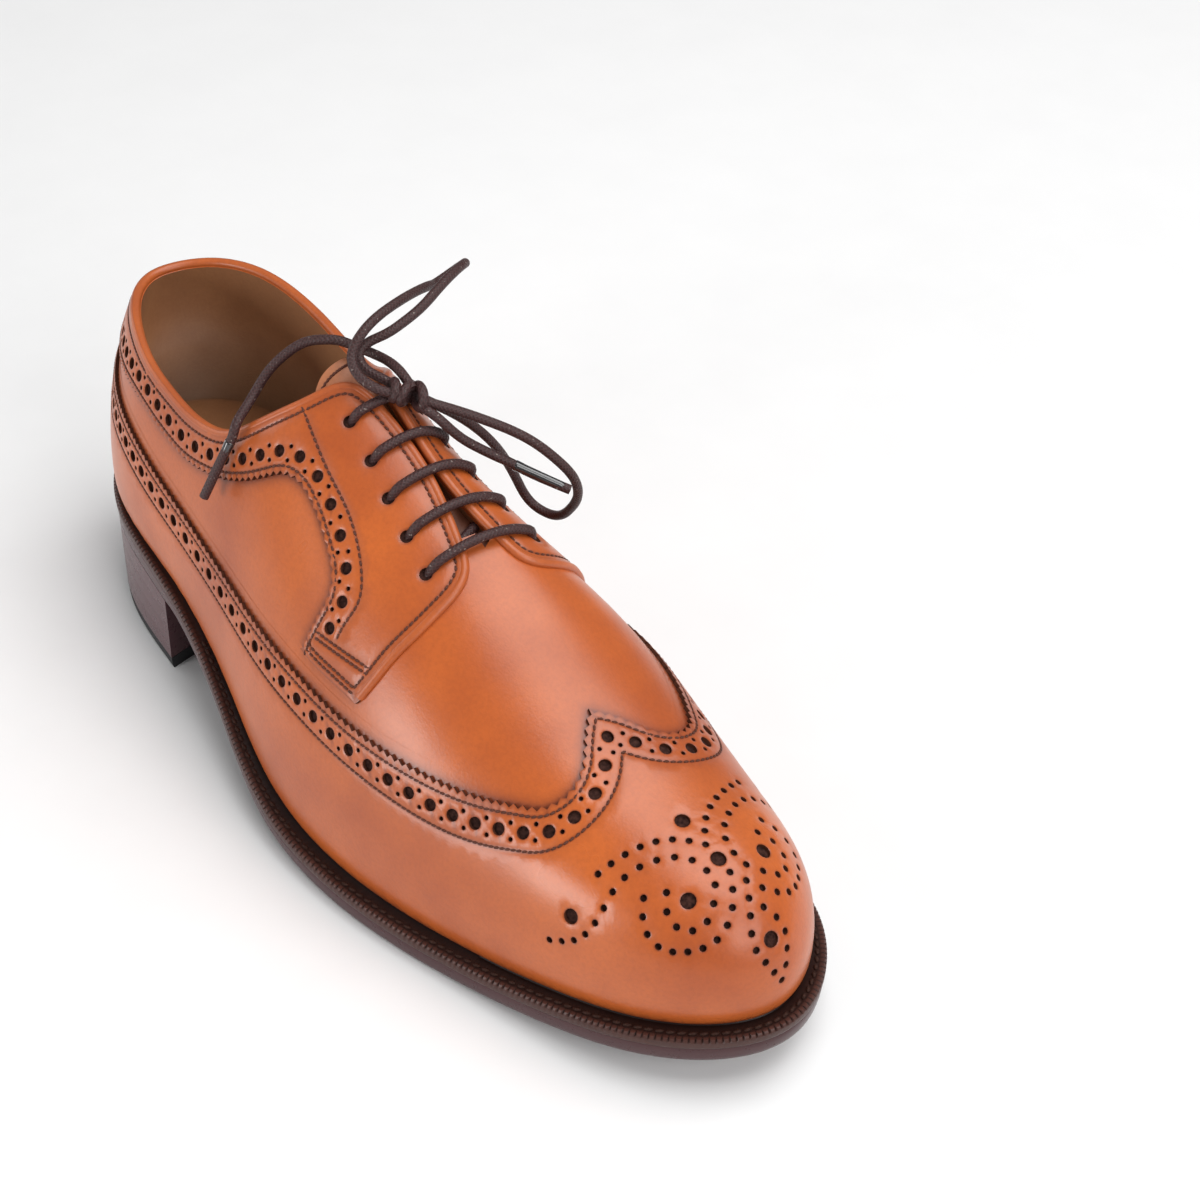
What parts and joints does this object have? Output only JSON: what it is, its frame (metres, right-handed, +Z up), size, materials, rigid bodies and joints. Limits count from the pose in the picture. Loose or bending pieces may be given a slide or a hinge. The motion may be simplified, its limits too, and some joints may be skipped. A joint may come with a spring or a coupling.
{
  "type": "brogue derby shoe",
  "caption": "Tan leather long-wing brogue derby for the right foot, with punched overlays, open lacing tied in a bow, a welted leather sole and a stacked heel.",
  "frame": {"origin": "middle of the heel's tread, on the floor", "axes": "+X from the heel to the toe, +Y towards the big-toe side, +Z up from the floor"},
  "size_m": [0.2951, 0.1058, 0.1311],
  "materials": {
    "tan_calf": "polished calf",
    "tan_calf_light": "satin calf",
    "sole_leather": "waxed edge",
    "welt_leather": "stained, wheeled",
    "heel_leather": "waxed edge",
    "rubber": "matt",
    "lining": "matt",
    "lace": "waxed cotton",
    "aglet": "gloss"
  },
  "bodies": {
    "root": {"upper": "tan_calf", "wing": "tan_calf", "facing_lateral": "tan_calf", "facing_medial": "tan_calf", "tongue": "tan_calf_light", "outsole": "sole_leather", "welt": "welt_leather", "heel_stack": "heel_leather", "heel_top_piece": "rubber", "insole": "lining", "lace_bar_1_lateral": "lace", "lace_bar_1_medial": "lace", "lace_bar_2": "lace", "lace_bar_3": "lace", "lace_bar_4": "lace", "lace_bar_5": "lace", "lace_knot": "lace", "lace_loop_1": "lace", "lace_loop_2": "lace", "lace_end_1": "lace", "lace_end_2": "lace", "aglet_1": "aglet", "aglet_2": "aglet"}
  },
  "joints": []
}
